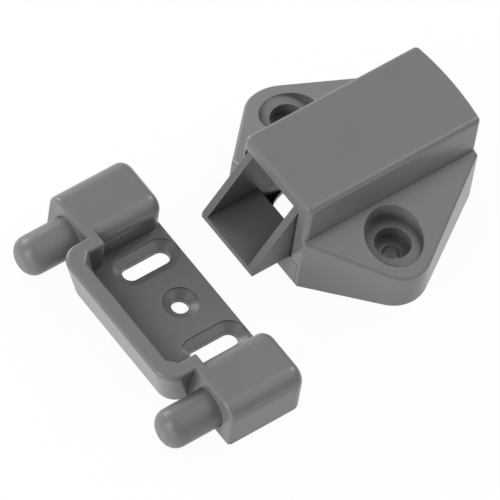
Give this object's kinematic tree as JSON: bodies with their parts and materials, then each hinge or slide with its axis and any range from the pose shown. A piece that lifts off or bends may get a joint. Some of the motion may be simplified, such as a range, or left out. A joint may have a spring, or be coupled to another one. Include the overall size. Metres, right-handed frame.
{
  "type": "pushbutton lock",
  "caption": "Surface-mounted pushbutton furniture lock with a scoop-shaped spring latch bolt, and its screwed strike plate with sprung plungers that push the door open.",
  "frame": {"origin": "centre of the push knob's bore on the mounting plane, which both pieces stand on", "axes": "+Z away from the mounting plane, +X across the wings, +Y from the bolt's lip to the rear of the case"},
  "size_m": [0.0714, 0.1015, 0.0288],
  "materials": {
    "grey_plastic": "satin mid-grey moulded plastic",
    "spring_wire": "drawn steel spring wire"
  },
  "bodies": {
    "set": {"lock_case": "grey_plastic", "base_plate": "grey_plastic", "strike_plate": "grey_plastic", "bolt_spring": "spring_wire", "plunger_spring_left": "spring_wire", "plunger_spring_right": "spring_wire"},
    "bolt": {"latch_bolt": "grey_plastic"},
    "plunger_l": {"plunger_left": "grey_plastic"},
    "plunger_r": {"plunger_right": "grey_plastic"}
  },
  "joints": [
    {"name": "bolt_slide", "type": "slide", "parent": "set", "child": "bolt", "axis": [0, 1, 0], "range_m": [0, 0.0105], "stiffness_N_per_m": 400, "springref_m": -0.005, "deforming": ["bolt_spring"]},
    {"name": "plunger_left_slide", "type": "slide", "parent": "set", "child": "plunger_l", "axis": [0, 1, 0], "range_m": [0, 0.01], "stiffness_N_per_m": 300, "springref_m": -0.006, "deforming": ["plunger_spring_left"]},
    {"name": "plunger_right_slide", "type": "slide", "parent": "set", "child": "plunger_r", "axis": [0, 1, 0], "range_m": [0, 0.01], "stiffness_N_per_m": 300, "springref_m": -0.006, "deforming": ["plunger_spring_right"]}
  ]
}
